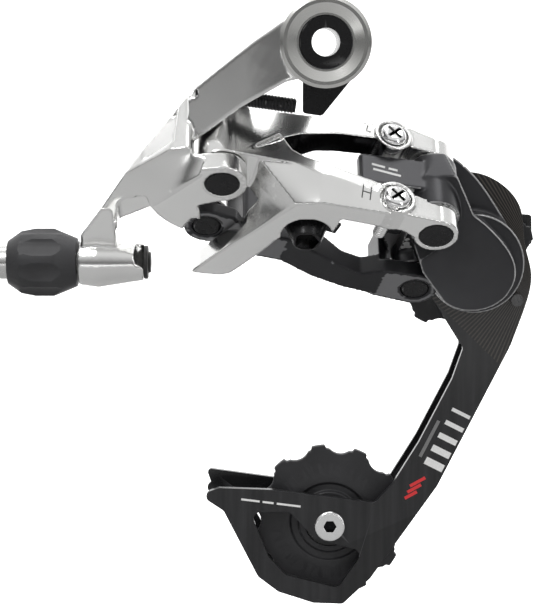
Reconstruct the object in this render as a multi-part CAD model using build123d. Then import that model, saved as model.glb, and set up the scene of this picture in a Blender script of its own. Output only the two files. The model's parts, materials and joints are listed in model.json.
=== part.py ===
from build123d import *
from math import cos, degrees, radians, sin, sqrt
import os

# Rear derailleur. +X is forward along the bike, +Y inboard, +Z up.
# The origin is on the hanger bolt's axis, at the hanger's outer face. Lengths are in mm.

MID = (Align.CENTER, Align.CENTER, Align.MIN)
HALF = sqrt(0.5)

# ---- linkage: four parallel pins that lean inboard at 45 degrees
PIN_AXIS = Vector(0, HALF, HALF)
TRAVEL = Vector(0, HALF, -HALF)
FOOT_A = Vector(-25.1, -9.0, -34.8)
LINK_LENGTH = 55.65
LINK_ANGLE = 16.0
PIN_C = (-4.4, 19.2)
PIN_B = (LINK_LENGTH * cos(radians(LINK_ANGLE)), LINK_LENGTH * sin(radians(LINK_ANGLE)))
PIN_D = (PIN_B[0] + PIN_C[0], PIN_B[1] + PIN_C[1])
PIN_R = 3.6
PIN_HEAD_R = 4.2
RUN_GAP = 0.05

# ---- levels up the pins, from the foot of pin A
EAR_LOW = (0.0, 5.5)
EAR_HIGH = (23.2, 28.8)
LINK_BARREL = (5.8, 22.9)
LINK_FLOOR = -3.7
CLEVIS_LOW_TOP = 1.9
CLEVIS_HIGH = (19.2, 24.4)
KNUCKLE_BARREL = (2.2, 18.9)
INNER_C_LOW = (2.8, 6.5)
INNER_C_HIGH = (21.0, 25.0)
LUG_C = (6.8, 20.7)
INNER_D_LOW = (-5.5, -1.0)
INNER_D_HIGH = (8.0, 11.3)
LUG_D = (-0.7, 7.7)

# ---- hanger bolt and its boss
BOLT_THREAD_R = 5.0
BOLT_SHANK_R = 6.0
BOLT_HEAD_R = 6.3
BOLT_BORE_R = 3.4
HANGER_HEX = 6.0
BOSS_R = 10.8
BOSS_Y = (-18.6, -2.5)
CAP_FACE_Y = -20.0

# ---- barrel adjuster, along X
ADJ_Y = 11.5
ADJ_Z = -56.0
ADJ_THREAD_R = 3.0
ADJ_SOCKET_R = 2.6
KNOB_X = (-80.6, -62.8)
KNOB_R = 8.7

# ---- cage pivot, cage plates and pulleys
CAGE_X, CAGE_Z = 39.6, -56.5
GUIDE_X, GUIDE_Z = 36.8, -55.4
TENSION_X, TENSION_Z = 2.9, -129.2
OUTER_PLATE_Y = (28.3, 30.3)
INNER_PLATE_Y = (39.9, 41.5)
PULLEY_Y = 35.1
TEETH = 11
CHAIN_PITCH = 12.7
PITCH_R = CHAIN_PITCH / (2 * sin(radians(180 / TEETH)))
TIP_R = 20.9
ROLLER_R = 3.95
TOOTH_T = 2.2
HUB_R = 6.6

# ---- limit screws, across the outer link
LIMIT_S = 43.2
LIMIT_HIGH_U = 0.9
LIMIT_LOW_U = 22.0
LIMIT_R = 1.9


def across(u=0.0):
    """Plane square to the pins, u up them from the foot of pin A."""
    return Plane(origin=FOOT_A + PIN_AXIS * u, x_dir=(1, 0, 0), z_dir=PIN_AXIS)


def slab(face, low, high):
    return extrude(across(low) * face, amount=high - low)


def along(radius, pin, low, high):
    """Cylinder about a pin axis."""
    return across(low) * Pos(pin[0], pin[1], 0) * Cylinder(radius, high - low, align=MID)


LINK_DIR = Vector(1, 0, 0) * cos(radians(LINK_ANGLE)) + TRAVEL * sin(radians(LINK_ANGLE))
LINK_BACK = TRAVEL * cos(radians(LINK_ANGLE)) - Vector(1, 0, 0) * sin(radians(LINK_ANGLE))


def link_face(t, origin=FOOT_A):
    """Plane of a link's front view: x along the link, y up the pins, t mm behind the pin line."""
    return Plane(origin=origin + LINK_BACK * t, x_dir=LINK_DIR, z_dir=LINK_BACK * -1)


def link_plan(u, origin=FOOT_A):
    """Plane of a link's plan view: x along the link, y inboard from the pin line."""
    return Plane(origin=origin + PIN_AXIS * u, x_dir=LINK_DIR, z_dir=PIN_AXIS)


def side_plate(face, low, high):
    """A front view face, x forward and y up, made solid from Y = low to Y = high."""
    return extrude(Plane(origin=(0, high, 0), x_dir=(1, 0, 0), z_dir=(0, -1, 0)) * face, amount=high - low)


def across_y(radius, x, z, low, high):
    plane = Plane(origin=(x, low, z), x_dir=(1, 0, 0), z_dir=(0, 1, 0))
    return plane * Cylinder(radius, high - low, align=MID)


def across_x(radius, low, high, y=ADJ_Y, z=ADJ_Z):
    plane = Plane(origin=(low, y, z), x_dir=(0, 1, 0), z_dir=(1, 0, 0))
    return plane * Cylinder(radius, high - low, align=MID)


def cone_x(r_low, r_high, low, high, y=ADJ_Y, z=ADJ_Z):
    plane = Plane(origin=(low, y, z), x_dir=(0, 1, 0), z_dir=(1, 0, 0))
    return plane * Cone(r_low, r_high, high - low, align=MID)


def polygon(*points):
    return make_face(Polyline(*points, close=True))


def outline(*points, radius=1.0):
    """Polygon with its corners rounded wherever the round fits."""
    face = polygon(*points)
    for point in points:
        corner = face.vertices().sort_by_distance(Vector(point[0], point[1], 0))[0]
        try:
            face = fillet(corner, radius)
        except ValueError:
            continue
    return face


def curved(curve, *closing):
    """Face with one smooth edge through the curve's points, closed by straight edges."""
    sides = Polyline(curve[-1], *closing, curve[0])
    return make_face(Spline(*curve) + sides)


def bevel_space(low, low_edge, high, high_edge, *far):
    """Solid in front of a leaning face that runs between two edges at two heights up the pins."""
    bottom = across(low) * polygon(*low_edge, *far)
    top = across(high) * polygon(*high_edge, *far)
    return loft([bottom, top], ruled=True)


def section(x, *points):
    """Face square to X, its points given as (Y, Z)."""
    return Plane(origin=(x, 0, 0), x_dir=(0, 1, 0), z_dir=(1, 0, 0)) * polygon(*points)


def clean(shape):
    """The one solid of a sub-part."""
    solids = shape.solids()
    return max(solids, key=lambda s: s.volume) if len(solids) > 1 else solids[0]


# ------------------------------------------------------------------ hanger end

def hanger_bolt():
    head = across_y(BOLT_HEAD_R, 0, 0, CAP_FACE_Y + 0.4, CAP_FACE_Y + 4.0)
    shank = across_y(BOLT_SHANK_R, 0, 0, CAP_FACE_Y + 4.0, 0.0)
    thread = across_y(BOLT_THREAD_R, 0, 0, 0.0, 9.0)
    bolt = head + shank + thread
    bolt -= across_y(BOLT_BORE_R, 0, 0, CAP_FACE_Y - 1, 10)
    hexagon = RegularPolygon(HANGER_HEX / 2, 6, major_radius=False, rotation=30)
    bolt -= side_plate(hexagon, CAP_FACE_Y - 1, CAP_FACE_Y + 7.0)
    return clean(bolt)


def stop_plate():
    ring = Circle(9.4)
    claw = polygon((-5.2, -6), (-5.2, -17.4), (-0.4, -18.1), (8.2, -7.5), (9.0, -2))
    plate = side_plate(ring + claw, -2.3, 0.0)
    plate -= across_y(BOLT_SHANK_R + 0.02, 0, 0, -3, 1)
    return clean(chamfer(plate.edges().filter_by(Axis.Y).sort_by(Axis.Z)[0:2], 0.4))


def hanger_bushing():
    sleeve = across_y(7.2, 0, 0, BOSS_Y[0] + 2.8, BOSS_Y[1])
    return sleeve - across_y(BOLT_SHANK_R + RUN_GAP, 0, 0, -20, 0)


def hanger_cap_ring():
    """Dished trim ring round the bolt head."""
    half = polygon((6.5, -18.7), (BOSS_R + 0.2, -18.7), (BOSS_R + 0.2, -19.4), (10.2, CAP_FACE_Y),
                   (9.4, CAP_FACE_Y), (7.0, -19.2), (6.5, -19.2))
    return revolve(half, axis=Axis.Y)


def hanger_seal():
    return across_y(9.6, 0, 0, -2.5, -2.32) - across_y(BOLT_SHANK_R + RUN_GAP, 0, 0, -3, 0)


# ------------------------------------------------------------------ B-knuckle

def knuckle_arm():
    """Leaning arm from the hanger boss down to the upper ear."""
    at_boss = section(-1, (-18.0, 8.6), (-4.0, 8.6), (-4.0, -7.5), (-18.0, -7.5))
    near_boss = section(-9.5, (-17.4, 5.6), (-3.0, 5.6), (-3.0, -9.5), (-17.4, -9.5))
    waist = section(-20, (-12.5, -1.6), (4.0, -1.6), (5.0, -15.5), (-11.5, -15.5))
    at_ear = section(-33.6, (-4.5, -12.6), (13.0, -12.6), (15.0, -22.0), (-3.5, -25.5))
    return loft([at_boss, near_boss, waist, at_ear], ruled=True)


def b_knuckle():
    boss = across_y(BOSS_R, 0, 0, *BOSS_Y)
    front_view = outline((-5.2, 31), (-11.0, 30.0), (-26.0, 6.5), (-35.5, 5.5), (-36.5, 0.0),
                         (1.0, 0.0), (4.0, 31), radius=1.5)
    slope = Plane(origin=FOOT_A + TRAVEL * 40, x_dir=(1, 0, 0), z_dir=TRAVEL * -1)
    envelope = extrude(slope * front_view, amount=60)
    wall_plan = outline((-7.6, -7.6), (-12.5, -7.0), (-26, 3.5), (-36, 15), (-36, 34), (-28, 34),
                        (-27.5, 17), (-18.0, 11.4), (-9.5, 20), (-5, 20), (-6.0, 7.5), radius=1.2)
    wall = slab(wall_plan, -9, 31) & envelope
    ear_plan = outline((0, -6.2), (-14, -5.0), (-27, 5), (-34, 14), (-27.5, 17), (-18.4, 11.2),
                       (-8.1, 8.4), (0.1, 6.2), radius=0.8)
    low_ear = slab(ear_plan + Circle(6.2), *EAR_LOW)
    high_plan = outline((0, -6.2), (-11, -7.4), (-13, -4), (-11, 6.5), (0, 6.2), radius=1.0)
    high_ear = slab(high_plan + Circle(6.2), *EAR_HIGH)
    lug_plan = polygon((-9, 3), (-2.5, 11.5), (1.2, 17.5), (-4.4, 19.2), (-10.1, 19.8), (-18, 9))
    lug = slab(lug_plan + Pos(*PIN_C) * Circle(5.8), *LUG_C)
    body = boss + knuckle_arm() + wall + low_ear + high_ear + lug
    boss_a = cone_x(5.9, 6.6, -62.3, -57.4)
    boss_b = cone_x(6.6, 4.7, -57.4, -45.6)
    root = slab(outline((-36.3, 8), (-27.2, 8), (-27.2, 30), (-36.3, 30), radius=2.0), -0.5, 5.5)
    body = body + root
    silhouette = polygon((20, 14), (-8.0, 10.6), (-13.3, 3.4), (-33.0, -12.0), (-47.3, -29.2), (-56.6, -42.2),
                         (-61.6, -48.5), (-61.6, -61.5), (-52.4, -61.5), (-44, -56), (20, -56))
    body = (body & side_plate(silhouette, -25, 40)) + boss_a + boss_b
    # rolled front of the lower ear
    body -= bevel_space(-0.1, [(-5.5, -3.4), (-15.1, 5.9), (-25.2, 13.8), (-34, 21)],
                        5.5, [(-3.0, -7.2), (-13.5, -5.0), (-27, 5), (-37, 12)], (-60, 12), (-60, -30), (-3, -30))
    # swing space of the two links
    body -= along(7.1, (0, 0), EAR_LOW[1], EAR_HIGH[0])
    body -= slab(polygon((0, -7.1), (40, -40), (40, 0), (7.1, 0)), EAR_LOW[1], EAR_HIGH[0])
    swing = polygon((0, -7.1), (40, -40), (60, 10), (40, 60), (-2.6, 13.0), (-7.1, 0))
    inner_swing = polygon((-4.4, 12.9), (40, -40), (60, 60), (-4.4, 25.6))
    body -= slab(swing, EAR_LOW[1], LUG_C[0]) + slab(swing, LUG_C[1], EAR_HIGH[0])
    for low, high in ((INNER_C_LOW[0] - 0.3, LUG_C[0]), (LUG_C[1], INNER_C_HIGH[1] + 0.4)):
        body -= slab(Pos(*PIN_C) * Circle(6.2) + inner_swing, low, high)
    fin_path = Circle(34.5) - Circle(20.0)
    fin_sector = polygon((0, 0), (-26.5, 8.5), (-26.5, 24.0), (-23, 24.5), (-14, 60), (60, 60), (60, 0))
    body -= slab(fin_path & fin_sector, LINK_FLOOR - 0.5, INNER_C_LOW[0])
    fin_root = (Circle(20.5) - Circle(14.6)) & polygon((0, 0), (-31.2, 51.3), (60, 60), (60, 0))
    body -= slab(fin_root, LINK_FLOOR - 0.5, INNER_C_LOW[0])
    # triangular lightening pocket in the front
    pocket = outline((-10.8, 24.0), (-12.0, 8.2), (-27.0, 6.0), (-19.0, 15.0), radius=0.6)
    front = Plane(origin=FOOT_A + TRAVEL * -1.2, x_dir=(1, 0, 0), z_dir=TRAVEL * -1)
    body -= extrude(front * pocket, amount=12)
    # bores
    body -= across_y(7.2, 0, 0, -30, 5)
    for pin in ((0, 0), PIN_C):
        body -= along(PIN_R, pin, -1, 31)
    body -= along(PIN_HEAD_R + 0.02, (0, 0), -1, 2.0)
    body -= across_x(ADJ_THREAD_R + RUN_GAP, -70, -47.6) + across_x(1.6, -48, -44)
    body -= b_screw_space()
    return clean(body)


SCREW_TIP = Vector(-6.9, -3.5, -15.6)
SCREW_DIR = Vector(cos(radians(-8)), 0, sin(radians(-8)))
SCREW_LENGTH = 25.0


def screw_plane(back):
    return Plane(origin=SCREW_TIP - SCREW_DIR * back, x_dir=(0, 1, 0), z_dir=SCREW_DIR)


def b_screw_space():
    return screw_plane(SCREW_LENGTH + 6) * Cylinder(2.0 + RUN_GAP, SCREW_LENGTH + 8, align=MID)


def b_screw():
    shaft = screw_plane(SCREW_LENGTH) * Cylinder(2.0, SCREW_LENGTH, align=MID)
    shaft -= screw_plane(SCREW_LENGTH + 1) * Box(2.2, 2.2, 3.5, align=MID)
    return clean(chamfer(shaft.edges().filter_by(GeomType.CIRCLE).sort_by(Axis.X)[-1], 0.4))


# ------------------------------------------------------------------ barrel adjuster

def adjuster_barrel():
    tube = across_x(ADJ_THREAD_R, -82.0, -50.5)
    tube += across_x(4.4, -82.8, -80.0)
    tube -= across_x(1.3, -90, -40)
    return tube - across_x(ADJ_SOCKET_R, -90, -73)


def adjuster_knob():
    """Barrel shaped grip with eight shallow flutes."""
    low, high = KNOB_X
    half = Plane.XY * polygon((low, ADJ_THREAD_R + RUN_GAP), (low, 5.6), (low + 3.4, 8.0), (low + 7, KNOB_R),
                              (high - 6, KNOB_R), (high, 6.2), (high, ADJ_THREAD_R + RUN_GAP))
    knob = Pos(0, ADJ_Y, ADJ_Z) * revolve(half, axis=Axis.X)
    for i in range(8):
        angle = radians(45 * i + 12)
        y = ADJ_Y + 13.4 * cos(angle)
        z = ADJ_Z + 13.4 * sin(angle)
        knob -= across_x(5.6, low - 1, high + 1, y, z)
    knob -= across_x(4.4 + RUN_GAP, low - 1, -79.9)
    return clean(knob)


def boss_plug():
    plug = across_x(4.3, -45.6, -44.6) + across_x(2.7, -44.6, -43.9)
    return plug - across_x(1.3, -50, -40)


# ------------------------------------------------------------------ links

def outer_link():
    upper = outline((0, 15), (14, 13.6), (18.5, 16.0), (29, 18.7), (40, 20.0), (57, 19.2), (57, 24.0),
                    (48, 26.2), (29, 23.8), (8, 22.0), (0, 22.4), radius=0.6)
    lower = outline((0, 5.8), (7.2, 5.8), (7.2, LINK_FLOOR), (57, LINK_FLOOR), (57, CLEVIS_LOW_TOP),
                    (44, 4.2), (33, 6.2), (26, 7.6), (19.5, 8.8), (16.2, 10.4), (14, 13.8), (10, 16), (0, 16),
                    radius=0.6)
    plan = outline((0, -6.4), (26, -6.6), (55.6, -5.7), (55.6, 4.5), (47, 0.4), (24, 0.4), (15, 4.8),
                   (0, 6.2), radius=1.5)
    arms = extrude(link_face(9) * upper, amount=20) + extrude(link_face(9) * lower, amount=20)
    arms = arms & extrude(link_plan(-6) * plan, amount=36)
    body = arms + along(6.3, (0, 0), *LINK_BARREL)
    body += along(5.7, PIN_B, LINK_FLOOR, CLEVIS_LOW_TOP) + along(5.7, PIN_B, *CLEVIS_HIGH)
    for u in (LIMIT_HIGH_U, LIMIT_LOW_U):
        body += link_face(0.4) * Pos(LIMIT_S, u, 0) * Cylinder(5.0, 7.2, align=MID)
    # cable fin, and the lug that carries the anchor bolt
    fin = outline((9.0, 1.5), (7.6, 7), (5.6, 14), (0.4, 19.9), (-6.2, 27.0), (-9.6, 31.0), (-3.5, 31.6),
                  (1.5, 30.2), (5.4, 26.2), (9.6, 21.5), (14, 16), (26, 17), (30, 9), (22, 2.5), radius=1.0)
    fin_reach = Circle(30.8)
    body += slab(fin & fin_reach, LINK_FLOOR, 2.2)
    anchor = Pos(21, 15.4) * Circle(6.2)
    bridge = polygon((10, 6), (27.2, 9), (27.2, 15.4), (14.8, 15.4))
    body += slab(anchor + bridge, 1.8, 7.0)
    body -= slab(Pos(21, 15.4) * Circle(6.5), -7, 1.8)
    # leaning front, from the top of the lower arm down to the edge of the fin
    body -= bevel_space(LINK_FLOOR - 0.1, [(-8.6, 28.8), (-0.1, 20.6), (7.7, 13.3), (15.3, 5.9), (18.3, 3.2),
                                           (24.3, 2.4), (43.6, 6.9)],
                        5.8, [(-12.0, 30), (-5.5, 23.0), (4.4, 12.5), (7.6, 4.5), (9.4, -3.0), (24.9, -0.3),
                              (44.1, 5.2)], (44, -20), (-40, -20), (-40, 29))
    # clear the lower ear of the B-knuckle and the barrel of the P-knuckle
    ear_room = Circle(6.9) + polygon((0, -6.9), (-40, -6.9), (-40, 12), (4.2, 5.5))
    body -= slab(ear_room, -6, LINK_BARREL[0])
    body -= along(7.0, PIN_B, CLEVIS_LOW_TOP, CLEVIS_HIGH[0])
    # bores
    body -= along(PIN_R + RUN_GAP, (0, 0), 0, 31)
    body -= along(PIN_R + RUN_GAP, PIN_B, -10, 30)
    body -= along(PIN_HEAD_R + RUN_GAP, PIN_B, -10, LINK_FLOOR + 1.5)
    for u in (LIMIT_HIGH_U, LIMIT_LOW_U):
        body -= link_face(20) * Pos(LIMIT_S, u, 0) * Cylinder(LIMIT_R + RUN_GAP, 40, align=MID)
        body -= link_face(-4.6) * Pos(LIMIT_S, u, 0) * Cylinder(4.0, 10, align=MID)
    body -= along(2.5 + RUN_GAP, (21, 15.4), 0, 9)
    # long V groove in the front of the barrel end
    groove = link_face(-6.9) * polygon((3.0, 6.2), (14.0, 13.4), (13.0, 14.8))
    body -= extrude(groove, amount=-1.6) + extrude(groove, amount=6)
    return clean(body)


def limit_screw(u, reach):
    """Pan head cross recess screw, square to the outer link."""
    shaft = link_face(reach) * Pos(LIMIT_S, u, 0) * Cylinder(LIMIT_R, reach + 5, align=MID)
    head = link_face(-4.7) * Pos(LIMIT_S, u, 0) * Cylinder(3.5, 3.0, align=MID)
    head = fillet(head.edges().filter_by(GeomType.CIRCLE).sort_by(Axis(tuple(FOOT_A), tuple(LINK_BACK)))[0], 1.4)
    cross = link_face(-6.0) * Pos(LIMIT_S, u, 0) * (Rot(0, 0, 45) * (Box(4.6, 0.9, 4, align=MID)
                                                                  + Box(0.9, 4.6, 4, align=MID)))
    return clean(shaft + head - cross)


def anchor_bolt():
    bolt = along(2.5, (21, 15.4), 0.9, 8.4)
    cone = across(-5.4) * Pos(21, 15.4, 0) * Cone(3.5, 5.2, 4.8, align=MID)
    bolt += cone + along(5.2, (21, 15.4), -0.6, 0.9)
    bolt -= slab(Pos(21, 15.4) * RegularPolygon(2.5, 6, major_radius=False), -6, -2.2)
    return clean(bolt)


def anchor_washer():
    plate = Pos(21, 15.4) * (Circle(5.9) + Pos(5.6, 1.6) * Rot(0, 0, 25) * Rectangle(5.5, 3.6))
    return slab(plate - Pos(21, 15.4) * Circle(2.5 + RUN_GAP), 0.9, 1.8)


def inner_link():
    foot = FOOT_A + Vector(PIN_C[0], 0, 0) + TRAVEL * PIN_C[1]
    side = outline((-6.2, 2.8), (22, 2.8), (30, -0.5), (38, -3.6), (46, -5.5), (62, -5.5), (62, -1.0), (49, -1.0),
                   (49, 8.0), (62, 8.0), (62, 11.3), (45, 11.3), (45, 1.0), (36, 2.6), (28, 9),
                   (16, 25), (-6.2, 25), radius=0.5)
    plan = outline((0, -5.8), (6.5, -5.0), (10, -0.8), (41, -0.8), (46, -5.0), (55.6, -5.8), (55.6, 5.8),
                   (44, 5.2), (30, 8.0), (9, 8.0), (5, 5.8), (0, 5.8), radius=1.0)
    body = extrude(link_face(12, foot) * side, amount=30) & extrude(link_plan(-8, foot) * plan, amount=40)
    body += along(5.8, PIN_C, *INNER_C_LOW) + along(5.8, PIN_C, *INNER_C_HIGH)
    body += along(5.8, PIN_D, *INNER_D_LOW) + along(5.8, PIN_D, *INNER_D_HIGH)
    body -= slab(Pos(*PIN_C) * Circle(9.2), INNER_C_LOW[1], INNER_C_HIGH[0])
    body -= slab(Pos(*PIN_D) * Circle(6.8), INNER_D_LOW[1], INNER_D_HIGH[0])
    # room for the P-knuckle's web as the link swings inboard
    heel = Vector(*PIN_D) + Vector(-6.6, 0).rotate(Axis.Z, -17)
    reach = [heel + Vector(40, 0).rotate(Axis.Z, -108), Vector(*PIN_D) + Vector(40, 0).rotate(Axis.Z, -60)]
    web_room = polygon(heel, *reach, tuple(PIN_D))
    body -= slab(web_room, INNER_D_LOW[1], INNER_D_HIGH[0])
    body -= along(PIN_R + RUN_GAP, PIN_C, 0, 30) + along(PIN_R + RUN_GAP, PIN_D, -10, 20)
    return clean(body)


def pin(spot, low, high):
    shaft = along(PIN_R, spot, low + 0.3, high)
    return chamfer(shaft.edges().filter_by(GeomType.CIRCLE), 0.35)


def headed_pin(spot, low, high, head_t):
    return along(PIN_HEAD_R, spot, low, low + head_t) + along(PIN_R, spot, low + head_t, high)


# ------------------------------------------------------------------ P-knuckle

def sweep(spot, low, high):
    """Room for a link's arm as it swings about one of the P-knuckle's pins."""
    reach = [(spot[0] + 80 * cos(radians(a)), spot[1] + 80 * sin(radians(a))) for a in (150, 190, 229)]
    wedge = polygon(spot, *reach)
    side_a = (spot[0] + 6.4 * cos(radians(60)), spot[1] + 6.4 * sin(radians(60)))
    side_b = (spot[0] + 6.4 * cos(radians(319)), spot[1] + 6.4 * sin(radians(319)))
    flank = polygon(side_a, *reach, side_b)
    return slab(wedge + flank + Pos(*spot) * Circle(6.4), low, high)


def p_knuckle():
    housing = across_y(12.8, CAGE_X, CAGE_Z, 12.5, 27.8)
    flange = curved([(31, -27.5), (39.1, -33.1), (47.3, -44.2), (52.3, -55.6), (51.0, -63.6), (44.0, -69.2),
                     (35.0, -69.5)], (27.0, -62.0), (26.0, -40.0))
    rear = side_plate(flange, 23.6, 27.8)
    neck = curved([(30.5, -26.0), (34.6, -34.5), (39.5, -46.0)], (24.0, -50.0), (24.0, -36.0))
    egg = curved([(38.3, -43.3), (45.6, -49.9), (49.3, -58.5), (46.4, -64.6), (39.5, -67.8), (31.0, -65.6)],
                 (25.5, -58.0), (22.5, -48.0), (24.0, -44.0))
    cheek = neck + egg
    front = side_plate(cheek, 5.0, 24.0)
    lean = Plane(origin=FOOT_A + TRAVEL * 9.0, x_dir=(1, 0, 0), z_dir=TRAVEL)
    wedge = extrude(lean * Pos(60, 0) * Rectangle(120, 90), amount=60)
    body = (front & wedge) + housing + rear
    body += along(6.3, PIN_B, *KNUCKLE_BARREL) + along(5.8, PIN_D, *LUG_D)
    web = polygon((49.0, 13), (44.2, 33), (54.5, 36.5), (59.5, 16))
    body += slab(web, 3.2, LUG_D[1])
    tab = outline((54, 10.0), (34.5, 6.4), (33.6, 9.2), (53, 18.0), radius=0.8)
    body += slab(tab, 7.0, 16.5)
    body -= sweep(PIN_B, -9, KNUCKLE_BARREL[0]) + sweep(PIN_B, KNUCKLE_BARREL[1], 30)
    body -= sweep(PIN_D, -9, LUG_D[0]) + sweep(PIN_D, LUG_D[1], 11.8)
    low_wedge = polygon((28, 10), (48.0, 14.0), (43.6, 34.0), (24, 34))
    body -= slab(low_wedge, -9, 3.2)
    body -= across_y(10.4, CAGE_X, CAGE_Z, 15.0, 30)
    body -= across_y(4.0, CAGE_X, CAGE_Z, 10.5, 16)
    for spot in (PIN_B, PIN_D):
        body -= along(PIN_R, spot, -10, 30)
    return clean(body)


def p_knuckle_seal():
    ring = across_y(10.35, CAGE_X, CAGE_Z, 26.4, 27.8)
    return ring - across_y(6.0 + 0.3, CAGE_X, CAGE_Z, 20, 30)


def cage_axle():
    axle = across_y(4.0 - RUN_GAP, CAGE_X, CAGE_Z, 11.5, 16.0)
    axle += across_y(6.0, CAGE_X, CAGE_Z, 15.1, OUTER_PLATE_Y[0])
    axle += across_y(8.5, CAGE_X, CAGE_Z, *OUTER_PLATE_Y)
    return axle - across_y(2.0, GUIDE_X, GUIDE_Z, 24, 31)


def cage_spring():
    """Wound torsion spring inside the housing."""
    coil = Helix(pitch=2.3, height=9.2, radius=8.3)
    profile = Plane(origin=coil @ 0, z_dir=coil % 0) * Circle(0.9)
    spring = Solid.sweep(profile.face(), coil)
    place = Plane(origin=(CAGE_X, 16.0, CAGE_Z), x_dir=(1, 0, 0), z_dir=(0, 1, 0))
    return place * spring


def return_spring():
    """Envelope of the close wound coil between the outer link's barrel end and the P-knuckle's tab."""
    start = FOOT_A + LINK_DIR * 19.6 + LINK_BACK * 2.6 + PIN_AXIS * 12.9
    finish = FOOT_A + LINK_DIR * 33.6 + LINK_BACK * 3.2 + PIN_AXIS * 12.5
    run = finish - start
    place = Plane(origin=start, z_dir=run)
    return place * (Cylinder(2.15, run.length, align=MID) - Cylinder(1.3, run.length, align=MID))


# ------------------------------------------------------------------ cage and pulleys

def arm_outline(shrink=0.0):
    s = shrink
    head = curved([(25.2, -52.0), (29.0, -38.5 - s), (38.5, -33.8 - s), (47.6, -36.6 - s), (53.2 - s, -43.5),
                   (54.3 - s, -52.0), (56.3 - s, -61.0), (54.8 - s, -69.5), (51.0 - s, -80.2)],
                  (38.4, -80.8), (30.4, -68.0), (25.5, -60.0))
    arm = outline((51.0 - s, -80.2), (31.8 - s, -118.4), (14.0, -143.8), (6.5, -151.0 + s), (-1.5, -150.7 + s),
                  (-11.0, -147.6 + s), (-16.5, -143.4), (-25.8, -125.2), (-32.4, -120.8), (-27.0, -118.9),
                  (-13.0, -119.4), (15.0, -123.0), (19.5, -118.2), (26.8, -106.3), (35.5, -89.2),
                  (38.4, -80.8), (36.0, -76.5), (48.0, -72.0), radius=1.6)
    return head + arm


def cage_outer_plate():
    plate = side_plate(arm_outline(), *OUTER_PLATE_Y)
    window = outline((-18.6, -125.5), (-8.0, -125.5), (-1.0, -133.0), (12.2, -136.4), (5.2, -146.6),
                     (-9.0, -143.0), (-13.6, -138.0), radius=2.0)
    plate -= side_plate(window, 20, 35)
    plate -= across_y(8.5, CAGE_X, CAGE_Z, 20, 35)
    plate -= across_y(2.5, TENSION_X, TENSION_Z, 20, 35)
    return clean(plate)


def cage_inner_plate():
    base = arm_outline(0.7)
    lip = outline((-30.8, -115.8), (-12, -118.4), (14, -121.5), (14, -126), (-28, -124), radius=1.0)
    guard = outline((50, -45.5), (57.6, -46.0), (57.8, -54.0), (50, -54.5), radius=0.8)
    toe = outline((14, -134.0), (21.6, -136.2), (20.6, -141.5), (12, -142), radius=0.8)
    plate = side_plate(base + lip + guard + toe, *INNER_PLATE_Y)
    window = outline((-18.0, -126.5), (-9.0, -126.5), (-3.0, -135.0), (10.5, -137.0), (4.5, -145.8),
                     (-9.0, -142.0), radius=1.3)
    plate -= side_plate(window, 35, 45)
    slot = outline((43.5, -70.0), (48.5, -76.0), (36.0, -101.0), (30.5, -103.0), (40.5, -85.0), radius=1.5)
    plate -= side_plate(slot, 35, 45)
    plate -= across_y(2.5, GUIDE_X, GUIDE_Z, 35, 45)
    plate -= across_y(2.0, TENSION_X, TENSION_Z, 35, 45)
    return clean(plate)


def cage_stop_pin():
    return across_y(1.6, 52.2, -67.5, 24.5, OUTER_PLATE_Y[0])


def cage_bridge(x, z):
    """Small spacer that ties the two plates together."""
    return across_y(1.7, x, z, OUTER_PLATE_Y[1], INNER_PLATE_Y[0])


def guide_pulley_bolt():
    head = across_y(4.0, GUIDE_X, GUIDE_Z, INNER_PLATE_Y[1], INNER_PLATE_Y[1] + 1.8)
    shank = across_y(2.5, GUIDE_X, GUIDE_Z, OUTER_PLATE_Y[1], INNER_PLATE_Y[1])
    tail = across_y(2.0, GUIDE_X, GUIDE_Z, 26.5, OUTER_PLATE_Y[1])
    socket = side_plate(Pos(GUIDE_X, GUIDE_Z) * RegularPolygon(1.5, 6, major_radius=False), 41.5, 44)
    return clean(head + shank + tail - socket)


def tension_pulley_bolt():
    head = across_y(4.1, TENSION_X, TENSION_Z, OUTER_PLATE_Y[0] - 1.7, OUTER_PLATE_Y[0])
    shank = across_y(2.5, TENSION_X, TENSION_Z, OUTER_PLATE_Y[0], INNER_PLATE_Y[0])
    tail = across_y(2.0, TENSION_X, TENSION_Z, INNER_PLATE_Y[0], INNER_PLATE_Y[1] + 0.3)
    head = fillet(head.edges().filter_by(GeomType.CIRCLE).sort_by(Axis.Y)[0], 0.6)
    socket = side_plate(Pos(TENSION_X, TENSION_Z) * RegularPolygon(1.5, 6, major_radius=False), 25, 28.4)
    return clean(head + shank + tail - socket)


def pulley_sleeve(x, z):
    """Inner race and its two spacers, clamped between the plates."""
    sleeve = across_y(3.4, x, z, OUTER_PLATE_Y[1], INNER_PLATE_Y[0])
    return sleeve - across_y(2.5, x, z, 20, 45)


def pulley_bearing(x, z):
    """Outer race, turning with the pulley."""
    race = across_y(HUB_R, x, z, PULLEY_Y - 1.9, PULLEY_Y + 1.9)
    return race - across_y(3.4 + 0.08, x, z, 20, 45)


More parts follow.
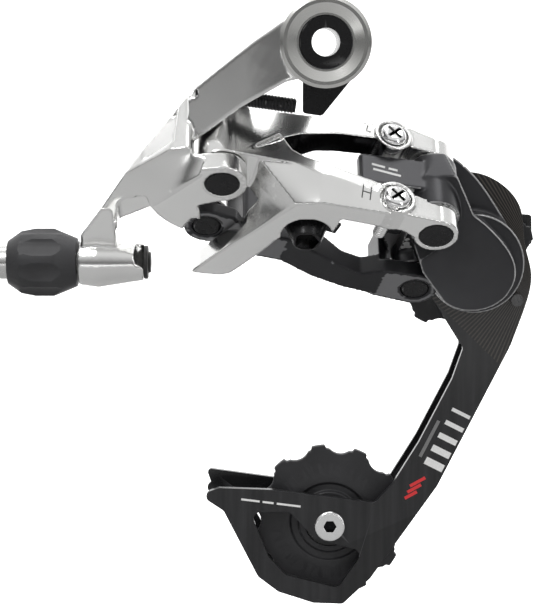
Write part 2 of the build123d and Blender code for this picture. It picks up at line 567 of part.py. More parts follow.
def pulley(x, z, first_tooth):
    blank = Circle(TIP_R)
    for i in range(TEETH):
        angle = radians(first_tooth + (i + 0.5) * 360 / TEETH)
        blank -= Pos(PITCH_R * cos(angle), PITCH_R * sin(angle)) * Circle(ROLLER_R)
        flank = Polyline((19.6, -3.6), (22, -5.0), (22, 5.0), (19.6, 3.6), close=True)
        blank -= Rot(0, 0, degrees(angle)) * make_face(flank)
    wheel = side_plate(Pos(x, z) * blank, PULLEY_Y - TOOTH_T / 2, PULLEY_Y + TOOTH_T / 2)
    # stepped and coned sides, from the hub out to the roots of the teeth
    half = polygon((5, -2.6), (8.2, -2.6), (8.6, -1.6), (10.4, -1.6), (10.8, -2.3), (12.6, -2.2), (16.4, -1.1),
                   (16.4, 1.1), (12.6, 2.2), (10.8, 2.3), (10.4, 1.6), (8.6, 1.6), (8.2, 2.6), (5, 2.6))
    wheel = wheel + Pos(x, PULLEY_Y, z) * revolve(half, axis=Axis.Y)
    return clean(wheel - across_y(HUB_R, x, z, 20, 45))


def dust_cap(x, z, side):
    """Thin shield over the bearing, on side +1 inboard or -1 outboard."""
    near = PULLEY_Y + side * 1.95
    far = PULLEY_Y + side * 2.5
    low, high = min(near, far), max(near, far)
    return across_y(6.5, x, z, low, high) - across_y(3.4 + 0.3, x, z, 20, 45)


def write(name, shape):
    export_step(shape, "parts/" + name + ".step")


def main():
    os.makedirs("parts", exist_ok=True)
    write("hanger_bolt", hanger_bolt())
    write("stop_plate", stop_plate())
    write("hanger_bushing", hanger_bushing())
    write("hanger_cap_ring", hanger_cap_ring())
    write("hanger_seal", hanger_seal())
    write("b_knuckle", b_knuckle())
    write("b_screw", b_screw())
    write("adjuster_barrel", adjuster_barrel())
    write("adjuster_knob", adjuster_knob())
    write("boss_plug", boss_plug())
    write("outer_link", outer_link())
    write("limit_screw_high", limit_screw(LIMIT_HIGH_U, 8.0))
    write("limit_screw_low", limit_screw(LIMIT_LOW_U, 9.0))
    write("anchor_bolt", anchor_bolt())
    write("anchor_washer", anchor_washer())
    write("inner_link", inner_link())
    write("pin_outer_upper", headed_pin((0, 0), 0.0, 28.4, 1.9))
    write("pin_outer_lower", headed_pin(PIN_B, LINK_FLOOR, 24.0, 1.4))
    write("pin_inner_upper", pin(PIN_C, 2.6, 24.8))
    write("pin_inner_lower", pin(PIN_D, -5.7, 11.2))
    write("p_knuckle", p_knuckle())
    write("p_knuckle_seal", p_knuckle_seal())
    write("cage_axle", cage_axle())
    write("cage_spring", cage_spring())
    write("return_spring", return_spring())
    write("cage_outer_plate", cage_outer_plate())
    write("cage_inner_plate", cage_inner_plate())
    write("cage_spacer_upper", cage_bridge(50.0, -76.8))
    write("cage_stop_pin", cage_stop_pin())
    write("guide_pulley_bolt", guide_pulley_bolt())
    write("tension_pulley_bolt", tension_pulley_bolt())
    write("guide_pulley", pulley(GUIDE_X, GUIDE_Z, -117.2))
    write("tension_pulley", pulley(TENSION_X, TENSION_Z, 98.4))
    for name, x, z in (("guide", GUIDE_X, GUIDE_Z), ("tension", TENSION_X, TENSION_Z)):
        write(name + "_pulley_sleeve", pulley_sleeve(x, z))
        write(name + "_bearing_race", pulley_bearing(x, z))
        write(name + "_dust_cap_front", dust_cap(x, z, -1))
        write(name + "_dust_cap_back", dust_cap(x, z, 1))


main()
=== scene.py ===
import json
import math

import bmesh
import bpy
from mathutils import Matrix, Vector
from mathutils.bvhtree import BVHTree


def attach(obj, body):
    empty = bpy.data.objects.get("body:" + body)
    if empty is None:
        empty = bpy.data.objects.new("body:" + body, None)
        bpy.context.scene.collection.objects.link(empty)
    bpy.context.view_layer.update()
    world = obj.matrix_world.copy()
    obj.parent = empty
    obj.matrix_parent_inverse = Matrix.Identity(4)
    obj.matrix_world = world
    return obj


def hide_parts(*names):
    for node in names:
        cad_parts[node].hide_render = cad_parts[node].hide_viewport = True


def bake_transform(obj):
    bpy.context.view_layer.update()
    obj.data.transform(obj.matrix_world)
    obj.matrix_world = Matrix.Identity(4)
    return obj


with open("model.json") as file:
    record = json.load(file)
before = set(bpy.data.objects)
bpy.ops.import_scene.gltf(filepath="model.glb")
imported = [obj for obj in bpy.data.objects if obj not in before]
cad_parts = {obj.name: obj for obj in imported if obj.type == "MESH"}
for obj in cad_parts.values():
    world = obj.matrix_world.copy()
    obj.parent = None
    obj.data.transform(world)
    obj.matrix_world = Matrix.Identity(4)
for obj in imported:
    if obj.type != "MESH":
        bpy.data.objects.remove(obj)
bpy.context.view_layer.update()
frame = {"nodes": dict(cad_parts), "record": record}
MM = 0.001
HALF = math.sqrt(0.5)

# ---- the linkage's own directions
PIN_AXIS = Vector((0, HALF, HALF))
TRAVEL = Vector((0, HALF, -HALF))
FOOT = Vector((-25.1, -9.0, -34.8)) * MM
ANGLE = math.radians(16)
LINK = Vector((1, 0, 0)) * math.cos(ANGLE) + TRAVEL * math.sin(ANGLE)
BACK = TRAVEL * math.cos(ANGLE) - Vector((1, 0, 0)) * math.sin(ANGLE)


def link_point(s, t, u):
    """A point s mm along the outer link, t mm behind its pins and u mm up them."""
    return FOOT + (LINK * s + BACK * t + PIN_AXIS * u) * MM


# ---- screws: the limit screws in the link's s, t and u; the tension bolt's head in x, y and z
LIMIT_S = 43.2
LIMIT_HEAD_T = -7.7
LIMIT_HIGH_U, LIMIT_LOW_U = 0.9, 22.0
TENSION_BOLT = Vector((2.9, 26.6, -129.2)) * MM


# ------------------------------------------------------------------ materials

class Nodes:
    """A material's node tree with a short way to add and join nodes."""

    def __init__(self, name):
        self.mat = bpy.data.materials.new(name)
        self.mat.use_nodes = True
        self.tree = self.mat.node_tree
        self.shader = self.tree.nodes["Principled BSDF"]
        self.coords = self.add("ShaderNodeTexCoord").outputs["Object"]

    def add(self, kind, **values):
        node = self.tree.nodes.new(kind)
        for key, value in values.items():
            setattr(node, key, value)
        return node

    def join(self, a, b):
        self.tree.links.new(a, b)

    def noise(self, scale, detail=3.0, stretch=(1, 1, 1), rotate=(0, 0, 0), rough=0.5):
        mapping = self.add("ShaderNodeMapping")
        mapping.inputs["Scale"].default_value = stretch
        mapping.inputs["Rotation"].default_value = rotate
        self.join(self.coords, mapping.inputs["Vector"])
        node = self.add("ShaderNodeTexNoise")
        node.inputs["Scale"].default_value = scale
        node.inputs["Detail"].default_value = detail
        node.inputs["Roughness"].default_value = rough
        self.join(mapping.outputs["Vector"], node.inputs["Vector"])
        return node.outputs["Fac"]

    def ramp(self, fac, *stops):
        node = self.add("ShaderNodeValToRGB")
        ramp = node.color_ramp
        while len(ramp.elements) < len(stops):
            ramp.elements.new(0.5)
        for element, (place, colour) in zip(ramp.elements, stops):
            element.position = place
            element.color = (*colour, 1) if len(colour) == 3 else (colour[0],) * 3 + (1,)
        self.join(fac, node.inputs["Fac"])
        return node.outputs["Color"]

    def span(self, fac, low, high, from_low=0.0, from_high=1.0):
        node = self.add("ShaderNodeMapRange")
        for key, value in zip(("From Min", "From Max", "To Min", "To Max"),
                              (from_low, from_high, low, high)):
            node.inputs[key].default_value = value
        self.join(fac, node.inputs["Value"])
        return node.outputs["Result"]

    def math(self, how, a, b=None):
        node = self.add("ShaderNodeMath", operation=how)
        for socket, value in zip(node.inputs, (a, b)):
            if value is None:
                continue
            if isinstance(value, (int, float)):
                socket.default_value = value
            else:
                self.join(value, socket)
        return node.outputs["Value"]

    def mix(self, fac, a, b):
        node = self.add("ShaderNodeMix", data_type="RGBA")
        for socket, value in ((node.inputs[0], fac), (node.inputs[6], a), (node.inputs[7], b)):
            if isinstance(value, tuple):
                socket.default_value = (*value, 1)
            elif isinstance(value, (int, float)):
                socket.default_value = value
            else:
                self.join(value, socket)
        return node.outputs[2]

    def edges(self, low=0.53, high=0.62):
        """1 on sharp outer edges, where a finish wears first and where bare metal gets a painted highlight.
        """
        geometry = self.add("ShaderNodeNewGeometry")
        return self.span(geometry.outputs["Pointiness"], 0.0, 1.0, low, high)

    def dot(self, vector, direction):
        node = self.add("ShaderNodeVectorMath", operation="DOT_PRODUCT")
        self.join(vector, node.inputs[0])
        node.inputs[1].default_value = direction
        return node.outputs["Value"]

    def product(self, *factors):
        total = factors[0]
        for factor in factors[1:]:
            total = self.math("MULTIPLY", total, factor)
        return total

    def bump(self, height, strength=0.2, distance=0.00005):
        node = self.add("ShaderNodeBump")
        node.inputs["Strength"].default_value = strength
        node.inputs["Distance"].default_value = distance
        self.join(height, node.inputs["Height"])
        self.join(node.outputs["Normal"], self.shader.inputs["Normal"])

    def set(self, colour=None, rough=None, metal=None, **constants):
        for key, value in (("Base Color", colour), ("Roughness", rough), ("Metallic", metal)):
            if value is None:
                continue
            if isinstance(value, tuple):
                self.shader.inputs[key].default_value = (*value, 1)
            elif isinstance(value, (int, float)):
                self.shader.inputs[key].default_value = value
            else:
                self.join(value, self.shader.inputs[key])
        for key, value in constants.items():
            self.shader.inputs[key].default_value = value
        return self.mat


def scaled(colour, factor):
    return tuple(c * factor for c in colour)


def painted_slot_shade(n):
    """Painted shade: 1 on the underside faces inside the outer link's long slot, which are painted near
    black as if in shadow.
    """
    s = n.dot(n.coords, LINK)
    u = n.dot(n.coords, PIN_AXIS)
    s0, u0 = FOOT.dot(LINK), FOOT.dot(PIN_AXIS)
    facing = n.dot(n.add("ShaderNodeNewGeometry").outputs["Normal"], PIN_AXIS)
    return n.product(n.span(s, 0.0, 1.0, s0 + 13.0 * MM, s0 + 14.5 * MM),
                     n.span(s, 1.0, 0.0, s0 + 41.0 * MM, s0 + 42.0 * MM),
                     n.span(u, 0.0, 1.0, u0 + 9.0 * MM, u0 + 10.0 * MM),
                     n.span(u, 1.0, 0.0, u0 + 20.4 * MM, u0 + 21.0 * MM),
                     n.span(facing, 1.0, 0.0, -0.75, -0.45))


def painted_socket_shade(*sockets):
    """Painted shade: 1 inside tool recesses, which are painted near black as if in shadow; each is a centre,
    an axis into the metal, two depths along it and a radius, in metres."""
    def mask(n):
        total = None
        for centre, axis, low, high, radius in sockets:
            offset = n.add("ShaderNodeVectorMath", operation="SUBTRACT")
            n.join(n.coords, offset.inputs[0])
            offset.inputs[1].default_value = centre
            cross = n.add("ShaderNodeVectorMath", operation="CROSS_PRODUCT")
            n.join(offset.outputs["Vector"], cross.inputs[0])
            cross.inputs[1].default_value = axis
            away = n.add("ShaderNodeVectorMath", operation="LENGTH")
            n.join(cross.outputs["Vector"], away.inputs[0])
            depth = n.dot(offset.outputs["Vector"], axis)
            one = n.product(n.span(depth, 0.0, 1.0, low, low + 0.15 * MM),
                            n.span(depth, 1.0, 0.0, high, high + 0.1 * MM),
                            n.span(away.outputs["Value"], 1.0, 0.0, radius, radius + 0.1 * MM))
            total = one if total is None else n.math("MAXIMUM", total, one)
        return total
    return mask


def worn_metal(name, colour, rough, edge_wear_and_highlight=(0.95, 0.95, 0.94), spread=0.08, shadow_paint=None):
    """Bare or plated metal: fine grain in its gloss, faint cloudiness, brighter edges that are partly wear
    and partly painted highlight, and painted shade where a mask is given.
    """
    n = Nodes(name)
    cloud = n.noise(70.0, 2.0)
    fine = n.noise(2600.0, 4.0)
    tint = n.ramp(cloud, (0.3, scaled(colour, 0.93)), (0.7, colour))
    # edges painted lighter: partly edge wear, partly a painted highlight
    colour_out = n.mix(n.edges(), tint, edge_wear_and_highlight)
    # painted shade: where the mask is 1 the metal is painted near black, as if in shadow
    if shadow_paint:
        colour_out = n.mix(shadow_paint(n), colour_out, (0.012, 0.012, 0.013))
    rough_out = n.math("ADD", n.span(fine, rough - spread / 2, rough + spread / 2),
                       n.span(cloud, -0.02, 0.03))
    n.bump(fine, 0.10, 0.00003)
    return n.set(colour_out, rough_out, 1.0)


def coated_metal(name, colour, rough, metal, edge=(0.35, 0.35, 0.36), bump=0.25, rub=(0.55, 0.68, 0.55)):
    """Anodised or painted metal: fine blasted texture, edges rubbed lighter between
    the first two values of rub and as far as its third."""
    n = Nodes(name)
    cloud = n.noise(55.0, 3.0)
    fine = n.noise(1800.0, 5.0)
    tint = n.ramp(cloud, (0.25, scaled(colour, 0.75)), (0.75, scaled(colour, 1.2)))
    colour_out = n.mix(n.math("MULTIPLY", n.edges(rub[0], rub[1]), rub[2]), tint, edge)
    rough_out = n.span(fine, rough - 0.06, rough + 0.08)
    n.bump(fine, bump, 0.00004)
    return n.set(colour_out, rough_out, metal)


def rubber(name, colour, rough):
    """Moulded rubber: pebbled and dull."""
    n = Nodes(name)
    fine = n.noise(2200.0, 6.0)
    cloud = n.noise(120.0, 3.0)
    tint = n.ramp(cloud, (0.3, scaled(colour, 0.8)), (0.7, scaled(colour, 1.25)))
    n.bump(fine, 0.45, 0.00006)
    return n.set(tint, n.span(fine, rough - 0.08, rough + 0.12), 0.0)


def resin(name, colour, rough=0.5):
    """Moulded plastic: faintly grained, its edges a little lighter."""
    n = Nodes(name)
    fine = n.noise(1500.0, 4.0)
    cloud = n.noise(90.0, 3.0)
    tint = n.mix(n.math("MULTIPLY", n.edges(0.54, 0.66), 0.35),
                 n.ramp(cloud, (0.3, scaled(colour, 0.8)), (0.75, scaled(colour, 1.3))),
                 (0.16, 0.16, 0.165))
    n.bump(fine, 0.25, 0.00004)
    return n.set(tint, n.span(fine, rough - 0.08, rough + 0.1), 0.0)


def carbon(name):
    """Moulded carbon: long fibres down the arm, ribbed fan under the knuckle, clear gloss over it."""
    n = Nodes(name)
    split = n.add("ShaderNodeSeparateXYZ")
    n.join(n.coords, split.inputs["Vector"])
    x, z = split.outputs["X"], split.outputs["Z"]
    fibres = n.noise(420.0, 4.0, stretch=(1, 1, 0.045), rotate=(0, math.radians(-28), 0))
    # ribs fan out from a point ahead of the cage pivot
    angle = n.math("ARCTAN2", n.math("SUBTRACT", z, -0.0575), n.math("SUBTRACT", x, 0.0582))
    ribs = n.math("SINE", n.math("MULTIPLY", angle, 170.0))
    rib_mask = n.span(ribs, 0.0, 1.0, 0.0, 0.6)
    # the fan ends on a line that slopes across the arm
    line = n.math("ADD", z, n.math("MULTIPLY", x, 0.973))
    above = n.span(line, 0.0, 1.0, -0.0386, -0.0382)
    # painted shade: the heel facet below the pulley is painted darker than the rest of the arm
    facet = n.math("SUBTRACT", z, n.math("MULTIPLY", x, 0.445))
    heel_painted_shade = n.product(n.span(facet, 1.0, 0.0, -0.1380, -0.1374), n.span(x, 0.0, 1.0, 0.003, 0.006))
    shaded_heel_tone = n.mix(n.span(fibres, 0.0, 1.0, 0.35, 0.7), (0.006, 0.006, 0.007), (0.018, 0.018, 0.019))
    light = n.mix(n.span(fibres, 0.0, 1.0, 0.35, 0.7), (0.010, 0.010, 0.011), (0.026, 0.026, 0.028))
    fan = n.mix(n.math("MULTIPLY", rib_mask, 0.75), (0.012, 0.011, 0.011), (0.075, 0.066, 0.056))
    arm = n.mix(heel_painted_shade, light, shaded_heel_tone)
    colour = n.mix(above, arm, fan)
    colour = n.mix(n.math("MULTIPLY", n.edges(0.56, 0.70), 0.5), colour, (0.25, 0.25, 0.26))
    raised = n.math("MULTIPLY", n.math("MULTIPLY", rib_mask, above), 0.8)
    n.bump(n.math("ADD", fibres, raised), 0.25, 0.00006)
    return n.set(colour, n.span(fibres, 0.26, 0.40), 0.0,
                 **{"Coat Weight": 0.25, "Coat Roughness": 0.12, "Specular IOR Level": 0.3})


def ink(name, colour, rough=0.45):
    """Printed ink: even, faintly rough."""
    n = Nodes(name)
    fine = n.noise(1800.0, 3.0)
    n.bump(fine, 0.1, 0.00002)
    tint = n.ramp(fine, (0.3, scaled(colour, 0.9)), (0.7, colour))
    return n.set(tint, n.span(fine, rough - 0.05, rough + 0.08), 0.0)


FORGED = worn_metal("forged_aluminium", (0.84, 0.84, 0.83), 0.20, spread=0.07)
# painted shade: the outer link's material paints the underside faces in its long slot near black, as if in
# shadow
FORGED_LINK_SLOT_SHADE = worn_metal("forged_aluminium_link_slot_shade", (0.84, 0.84, 0.83), 0.20, spread=0.07, shadow_paint=painted_slot_shade)
CAP = worn_metal("cap_aluminium", (0.66, 0.66, 0.64), 0.24, spread=0.05, edge_wear_and_highlight=(0.66, 0.66, 0.64))
BLACK_ANOD = coated_metal("black_anodised", (0.022, 0.022, 0.025), 0.34, 0.35)
CHARCOAL = coated_metal("charcoal_anodised", (0.034, 0.034, 0.037), 0.30, 0.5, edge=(0.85, 0.85, 0.85),
                        rub=(0.52, 0.57, 0.9))
STEEL_BLACK = coated_metal("steel_black", (0.016, 0.016, 0.017), 0.28, 0.5, edge=(0.3, 0.3, 0.3), bump=0.12)
STEEL = worn_metal("steel_bright", (0.66, 0.66, 0.65), 0.26)
# painted shade in the tension bolt's hexagon, then in the crosses of the two limit screws
CHROME = worn_metal("chrome_steel", (0.88, 0.88, 0.88), 0.14, spread=0.05, shadow_paint=painted_socket_shade(
    (TENSION_BOLT, Vector((0, 1, 0)), 0.3 * MM, 3.0 * MM, 1.75 * MM),
    *((link_point(LIMIT_S, LIMIT_HEAD_T, u), BACK, 0.9 * MM, 2.8 * MM, 2.5 * MM)
      for u in (LIMIT_HIGH_U, LIMIT_LOW_U))))
KNOB = rubber("knob_rubber", (0.026, 0.026, 0.028), 0.5)
SEAL = rubber("seal_rubber", (0.014, 0.014, 0.014), 0.5)
CARBON = carbon("carbon")
PLATE = coated_metal("plate_black", (0.014, 0.014, 0.015), 0.20, 0.2, edge=(0.3, 0.3, 0.31), bump=0.08)
RESIN = resin("pulley_resin", (0.018, 0.018, 0.020))
POLYMER = resin("bushing_polymer", (0.14, 0.14, 0.15))
WHITE_INK = ink("mark_white", (0.85, 0.85, 0.84))
GREY_INK = ink("mark_grey", (0.20, 0.20, 0.20))
RED_INK = ink("mark_red", (0.72, 0.03, 0.035))
DARK_INK = ink("mark_dark", (0.05, 0.05, 0.05), 0.6)

SLOTS = {"forged_aluminium": FORGED, "cap_aluminium": CAP, "black_anodised": BLACK_ANOD,
         "charcoal_anodised": CHARCOAL, "steel_black": STEEL_BLACK, "steel_bright": STEEL,
         "chrome_steel": CHROME, "knob_rubber": KNOB, "seal_rubber": SEAL, "carbon": CARBON,
         "plate_black": PLATE, "pulley_resin": RESIN, "bushing_polymer": POLYMER}
SLOT_OF = {p["node"]: p["material_slot"] for p in frame["record"]["subparts"]}
BODY_OF = {node: body for body, nodes in frame["record"]["behaviour"]["bodies"].items() for node in nodes}

for name, obj in frame["nodes"].items():
    obj.data.materials.clear()
    obj.data.materials.append(SLOTS[SLOT_OF[name]])


# ------------------------------------------------------------------ mesh helpers

def place(obj, body, slot):
    """The object rides on a body; its slot is not used."""
    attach(obj, body)


def new_mesh(name, bm, material, smooth=True):
    """An object made from bm, which is freed."""
    mesh = bpy.data.meshes.new(name)
    bm.to_mesh(mesh)
    bm.free()
    mesh.materials.append(material)
    for face in mesh.polygons:
        face.use_smooth = smooth
    obj = bpy.data.objects.new(name, mesh)
    bpy.context.scene.collection.objects.link(obj)
    return obj


def copy_of(node, name):
    """A free copy of a CAD node's mesh, its seams closed."""
    bm = bmesh.new()
    bm.from_mesh(frame["nodes"][node].data)
    bmesh.ops.remove_doubles(bm, verts=bm.verts, dist=2e-6)
    bmesh.ops.dissolve_limit(bm, angle_limit=math.radians(0.5), verts=bm.verts, edges=bm.edges)
    return new_mesh(name, bm, SLOTS[SLOT_OF[node]])


def apply_all(obj):
    """The object's mesh with its modifiers built in."""
    graph = bpy.context.evaluated_depsgraph_get()
    graph.update()
    mesh = bpy.data.meshes.new_from_object(obj.evaluated_get(graph))
    obj.modifiers.clear()
    obj.data = mesh
    return obj


def stand_in(obj, node):
    """The object is shown in a CAD node's place."""
    place(obj, BODY_OF[node], SLOT_OF[node])
    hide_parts(node)
    return obj


def forged(node, voxel, passes, material=None):
    """A forging: the CAD body with every edge drawn into a soft round; voxel in mm."""
    obj = copy_of(node, node + "_forged")
    remesh = obj.modifiers.new("remesh", "REMESH")
    remesh.mode = "VOXEL"
    remesh.voxel_size = voxel * MM
    remesh.adaptivity = 0.0
    remesh.use_smooth_shade = True
    smooth = obj.modifiers.new("smooth", "SMOOTH")
    smooth.factor = 0.5
    smooth.iterations = passes
    apply_all(obj)
    for face in obj.data.polygons:
        face.use_smooth = True
    if material:
        obj.data.materials[0] = material
    return stand_in(obj, node)


def roll_edges(obj, width):
    """Rounds every corner of 30 degrees or more; width in mm."""
    bevel = obj.modifiers.new("bevel", "BEVEL")
    bevel.width = width * MM
    bevel.segments = 3
    bevel.limit_method = "ANGLE"
    bevel.angle_limit = math.radians(30)
    return bevel


def edged(node, width):
    """A machined piece: the CAD body with a small rolled edge on every corner."""
    obj = copy_of(node, node + "_edged")
    bevel = roll_edges(obj, width)
    bevel.use_clamp_overlap = True
    bevel.harden_normals = True
    normals = obj.modifiers.new("normals", "WEIGHTED_NORMAL")
    normals.keep_sharp = True
    apply_all(obj)
    return stand_in(obj, node)


def axes_for(direction):
    """Two directions across a line, then the line's own."""
    z = Vector(direction).normalized()
    x = z.orthogonal().normalized()
    return x, z.cross(x), z


def threaded(name, start, direction, length, r, pitch, depth, material):
    """A rod with a helical thread that fades out at its ends; lengths in mm, start in metres."""
    ends, sides = 0.3, 36
    x, y, z = axes_for(direction)
    rows = max(8, int(length / pitch * 6))
    bm = bmesh.new()
    grid = []
    for i in range(rows + 1):
        h = length * i / rows
        line = []
        for j in range(sides):
            a = 2 * math.pi * j / sides
            phase = (h / pitch - j / sides) % 1.0
            ridge = 1 - abs(2 * phase - 1)
            fade = min(1.0, h / ends / 2, (length - h) / ends / 2)
            radius = r - depth * (1 - ridge) - (1 - min(1.0, max(0.0, fade))) * depth
            around = x * math.cos(a) * radius + y * math.sin(a) * radius
            line.append(bm.verts.new(Vector(start) + (around + z * h) * MM))
        grid.append(line)
    for a, b in zip(grid, grid[1:]):
        for j in range(sides):
            k = (j + 1) % sides
            bm.faces.new((a[j], a[k], b[k], b[j]))
    bm.faces.new(list(reversed(grid[0])))
    bm.faces.new(grid[-1])
    return new_mesh(name, bm, material)


def tube(name, points, r, material, sides):
    """A round wire along points in metres, r in mm."""
    bm = bmesh.new()
    loops = []
    normal = None
    for i, p in enumerate(points):
        tangent = (points[min(i + 1, len(points) - 1)] - points[max(i - 1, 0)]).normalized()
        if normal is None:
            normal = tangent.orthogonal().normalized()
        normal = (normal - tangent * normal.dot(tangent)).normalized()
        side = tangent.cross(normal)
        loops.append([bm.verts.new(p + (normal * math.cos(2 * math.pi * j / sides)
                                        + side * math.sin(2 * math.pi * j / sides)) * r * MM)
                      for j in range(sides)])
    for a, b in zip(loops, loops[1:]):
        for j in range(sides):
            k = (j + 1) % sides
            bm.faces.new((a[j], a[k], b[k], b[j]))
    bm.faces.new(list(reversed(loops[0])))
    bm.faces.new(loops[-1])
    bmesh.ops.recalc_face_normals(bm, faces=bm.faces)
    return new_mesh(name, bm, material)


def decal(name, outline, y, depth, material):
    """A thin printed mark on the cage plate: (x, z) corners in mm, on the face at Y = y."""
    bm = bmesh.new()
    front = [bm.verts.new(Vector((x, y - depth, z)) * MM) for x, z in outline]
    back = [bm.verts.new(Vector((x, y, z)) * MM) for x, z in outline]
    bm.faces.new(front)
    bm.faces.new(list(reversed(back)))
    for i in range(len(outline)):
        j = (i + 1) % len(outline)
        bm.faces.new((front[i], back[i], back[j], front[j]))
    bmesh.ops.recalc_face_normals(bm, faces=bm.faces)
    return new_mesh(name, bm, material, smooth=False)


# ------------------------------------------------------------------ forgings and machined pieces

forged("b_knuckle", 0.36, 5)
link = forged("outer_link", 0.28, 7, FORGED_LINK_SLOT_SHADE)
forged("inner_link", 0.36, 4)
knuckle = forged("p_knuckle", 0.36, 6)

for node, width in (("hanger_bolt", 0.3), ("stop_plate", 0.3),
                    ("boss_plug", 0.25), ("anchor_bolt", 0.3), ("anchor_washer", 0.15),
                    ("adjuster_barrel", 0.25), ("adjuster_knob", 0.5),
                    ("pin_outer_upper", 0.35), ("pin_outer_lower", 0.35),
                    ("pin_inner_upper", 0.2), ("pin_inner_lower", 0.2),
                    ("cage_outer_plate", 0.55), ("cage_inner_plate", 0.35), ("cage_axle", 0.25),
                    ("guide_pulley_bolt", 0.15), ("tension_pulley_bolt", 0.12),
                    ("guide_pulley", 0.3), ("tension_pulley", 0.3),
                    ("guide_bearing_race", 0.15), ("tension_bearing_race", 0.15)):
    edged(node, width)

# B-screw with its real thread
B_SCREW_LENGTH = 25.0
tip = Vector((-6.9, -3.5, -15.6)) * MM
run = Vector((math.cos(math.radians(-8)), 0, math.sin(math.radians(-8))))
screw = threaded("b_screw_thread", tip - run * B_SCREW_LENGTH * MM, run, B_SCREW_LENGTH, 2.0, 0.8, 0.32,
                 STEEL_BLACK)
stand_in(screw, "b_screw")

# limit screws: the pan head, with a threaded shank in place of the plain one
for node, u, reach in (("limit_screw_high", LIMIT_HIGH_U, 8.0), ("limit_screw_low", LIMIT_LOW_U, 9.0)):
    head = copy_of(node, node + "_head")
    bm = bmesh.new()
    bm.from_mesh(head.data)
    bmesh.ops.bisect_plane(bm, geom=bm.verts[:] + bm.edges[:] + bm.faces[:],
                           plane_co=link_point(LIMIT_S, -4.72, u), plane_no=BACK, clear_outer=True)
    bm.to_mesh(head.data)
    bm.free()
    roll_edges(head, 0.12)
    apply_all(head)
    shank = threaded(node + "_shank", link_point(LIMIT_S, -5.2, u), BACK, reach + 5.2, 1.9, 0.7, 0.3, CHROME)
    shank.data.transform(head.matrix_world.inverted())
    for piece in (head, shank):
        place(piece, node, "chrome_steel")
    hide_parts(node)
    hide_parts(node)

# coil return spring, from the outer link to the lower knuckle
first, last = link_point(19.6, 2.6, 12.9), link_point(33.6, 3.2, 12.5)
sx, sy, _ = axes_for(last - first)
coil = []
turns, steps = 11, 22
COIL_R = 1.7
for i in range(turns * steps + 1):
    f = i / (turns * steps)
    a = 2 * math.pi * i / steps
    coil.append(first.lerp(last, f) + (sx * math.cos(a) + sy * math.sin(a)) * COIL_R * MM)
spring = tube("return_spring_coil", coil, 0.42, STEEL_BLACK, sides=10)
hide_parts("return_spring")
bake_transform(spring)

# ------------------------------------------------------------------ generic marks on the cage

FACE_Y = 28.3
ARM = Vector((0.45, 0.893))
ACROSS = Vector((0.893, -0.45))


def bar(name, middle, run, length, thick, material, slant=0.0):
    """A printed bar on the cage arm; run is its long direction and slant leans its ends."""
    side = Vector((-run.y, run.x)) * thick / 2
    half = run * length / 2
    lean = run * slant
    corners = [middle - half - side, middle + half - side + lean,
               middle + half + side + lean, middle - half + side]
    place(decal(name, [tuple(c) for c in corners], FACE_Y, 0.04, material), "cage", "carbon")


for i in range(3):
    bar("cage_mark_red_%d" % i, Vector((24.6 + 0.9 * i, -120.9 + 1.8 * i)), Vector((0.87, 0.49)),
        3.4 + 0.5 * i, 0.85, RED_INK, 0.3)
for i in range(5):
    bar("cage_mark_white_%d" % i, Vector((30.9, -112.4)) + ARM * 3.9 * i, ACROSS,
        5.2, 2.1 - 0.28 * i, WHITE_INK, 0.2)
bar("cage_mark_grey", Vector((29.6, -105.4)), ARM, 11.0, 0.9, GREY_INK)
LEVER = Vector((0.992, -0.124))
for i, (along, length) in enumerate(((2.5, 5.0), (7.3, 3.0), (12.9, 6.5))):
    bar("cage_mark_line_%d" % i, Vector((-21.0, -122.0)) + LEVER * along, LEVER, length, 0.55, WHITE_INK)


def strokes(name, target, lines, width, material, body, slot):
    """Printed strokes laid on a piece's front: each line is two (s, u) points in the link's frame."""
    proud, steps = 0.04, 6
    tree = BVHTree.FromPolygons([v.co for v in target.data.vertices],
                                [p.vertices for p in target.data.polygons])
    deep = BACK * (proud + 0.25) * MM
    bm = bmesh.new()
    for (s0, u0), (s1, u1) in lines:
        hits = []
        for k in range(steps + 1):
            f = k / steps
            hit = tree.ray_cast(link_point(s0 + (s1 - s0) * f, -30, u0 + (u1 - u0) * f), BACK)[0]
            hits.append(hit - BACK * proud * MM)
        side = (hits[-1] - hits[0]).cross(BACK).normalized() * width / 2 * MM
        rows = [[bm.verts.new(q) for q in (p - side, p + side, p + side + deep, p - side + deep)]
                for p in hits]
        for near, far in zip(rows, rows[1:]):
            for i in range(4):
                bm.faces.new((near[i], near[(i + 1) % 4], far[(i + 1) % 4], far[i]))
        bm.faces.new(rows[0])
        bm.faces.new(list(reversed(rows[-1])))
    bmesh.ops.recalc_face_normals(bm, faces=bm.faces)
    place(new_mesh(name, bm, material, smooth=False), body, slot)


strokes("letter_h", link, [((34.3, -0.6), (34.6, 3.2)), ((36.4, -0.9), (36.7, 2.9)),
                           ((34.45, 1.3), (36.55, 1.0))], 0.30, DARK_INK, "outer_link", "forged_aluminium")
strokes("letter_l", link, [((36.0, 21.8), (36.4, 23.7)), ((36.0, 21.8), (37.3, 21.6))],
        0.25, DARK_INK, "outer_link", "forged_aluminium")
strokes("knuckle_mark", knuckle, [((38.0, 13.2), (41.4, 12.6)), ((42.3, 12.4), (44.6, 12.0)),
                                  ((38.3, 11.6), (45.4, 10.3))],
        0.7, WHITE_INK, "p_knuckle", "charcoal_anodised")

# ------------------------------------------------------------------ stage, light and camera


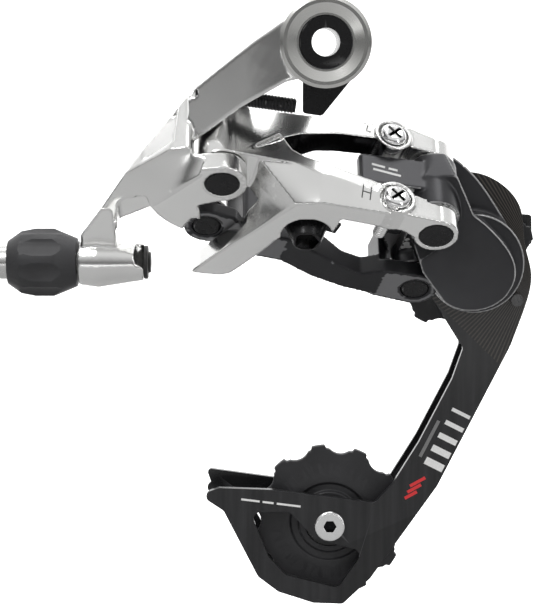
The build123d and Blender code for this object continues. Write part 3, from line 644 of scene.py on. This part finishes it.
def sheet(name, profile, glow, tone):
    """A pale paper sheet of a grey tone, lit from within by glow: (y, z) points in metres, drawn along X."""
    bm = bmesh.new()
    rows = [[bm.verts.new((x, y, z)) for y, z in profile] for x in (-2.6, 2.6)]
    for i in range(len(profile) - 1):
        bm.faces.new((rows[0][i], rows[1][i], rows[1][i + 1], rows[0][i + 1]))
    n = Nodes(name)
    paper = n.noise(40.0, 3.0)
    tint = n.ramp(paper, (0.3, (tone - 0.01,) * 3), (0.7, (tone + 0.01,) * 3))
    n.set(tint, n.span(paper, 0.85, 0.95), 0.0)
    n.shader.inputs["Emission Color"].default_value = (1, 1, 1, 1)
    n.shader.inputs["Emission Strength"].default_value = glow
    obj = new_mesh(name, bm, n.mat)


FLOOR_Z = -0.23
FLOOR_BACK = 0.25
SWEEP_R, SWEEP_STEPS = 0.5, 12
sweep = [(FLOOR_BACK, FLOOR_Z)]
for k in range(SWEEP_STEPS + 1):
    a = math.radians(-90 + 90 * k / SWEEP_STEPS)
    sweep.append((0.9 + SWEEP_R * math.cos(a), FLOOR_Z + SWEEP_R + SWEEP_R * math.sin(a)))
sheet("studio_floor", [(-1.8, FLOOR_Z), (FLOOR_BACK, FLOOR_Z)], 0.0, 0.36)
sheet("studio_backdrop", sweep + [(1.4, 2.2)], 0.9, 0.85)

world = bpy.data.worlds.new("studio")
bpy.context.scene.world = world
world.use_nodes = True
tree = world.node_tree
back = tree.nodes["Background"]
coord = tree.nodes.new("ShaderNodeTexCoord")
split = tree.nodes.new("ShaderNodeSeparateXYZ")
ramp = tree.nodes.new("ShaderNodeValToRGB")
span = tree.nodes.new("ShaderNodeMapRange")
tree.links.new(coord.outputs["Generated"], split.inputs["Vector"])
tree.links.new(split.outputs["Z"], span.inputs["Value"])
span.inputs["From Min"].default_value = -1.0
span.inputs["From Max"].default_value = 1.0
tree.links.new(span.outputs["Result"], ramp.inputs["Fac"])
tree.links.new(ramp.outputs["Color"], back.inputs["Color"])
# brightness from straight down to straight up
stops = ((0.0, 0.06), (0.38, 0.03), (0.50, 0.10), (0.60, 0.36), (0.80, 0.85))
while len(ramp.color_ramp.elements) < len(stops):
    ramp.color_ramp.elements.new(0.5)
for element, (where, value) in zip(ramp.color_ramp.elements, stops):
    element.position = where
    element.color = (value, value, value, 1)
back.inputs["Strength"].default_value = 0.9


def softbox(name, where, target, size, power):
    """A rectangular light at a place, turned to its target; metres and watts."""
    light = bpy.data.lights.new(name, "AREA")
    light.shape = "RECTANGLE"
    light.size, light.size_y = size
    light.energy = power
    obj = bpy.data.objects.new(name, light)
    obj.location = where
    obj.rotation_euler = (Vector(target) - Vector(where)).to_track_quat("-Z", "Y").to_euler()
    bpy.context.scene.collection.objects.link(obj)


softbox("key", (-0.45, -0.55, 0.75), (0, 0, -0.06), (0.45, 0.35), 5)
softbox("fill", (0.75, -0.6, 0.15), (0, 0, -0.07), (0.12, 0.8), 1.2)
softbox("top", (0.1, 0.15, 0.9), (0, 0, -0.06), (0.7, 0.30), 3)
softbox("low", (-0.1, -0.7, -0.18), (0, 0, -0.08), (0.7, 0.06), 0.25)

camera = bpy.data.cameras.new("camera")
camera.lens = 2000.0 / 605.0 * 36.0
camera.sensor_width = 36.0
camera.clip_start = 0.02
camera.clip_end = 20.0
eye = bpy.data.objects.new("camera", camera)
eye.location = Vector((-14.19, -500.88, -3.53)) * MM
eye.rotation_euler = (math.radians(90 - 7.0), 0, 0)
bpy.context.scene.collection.objects.link(eye)
bpy.context.scene.camera = eye
bpy.context.scene.view_settings.view_transform = "Standard"
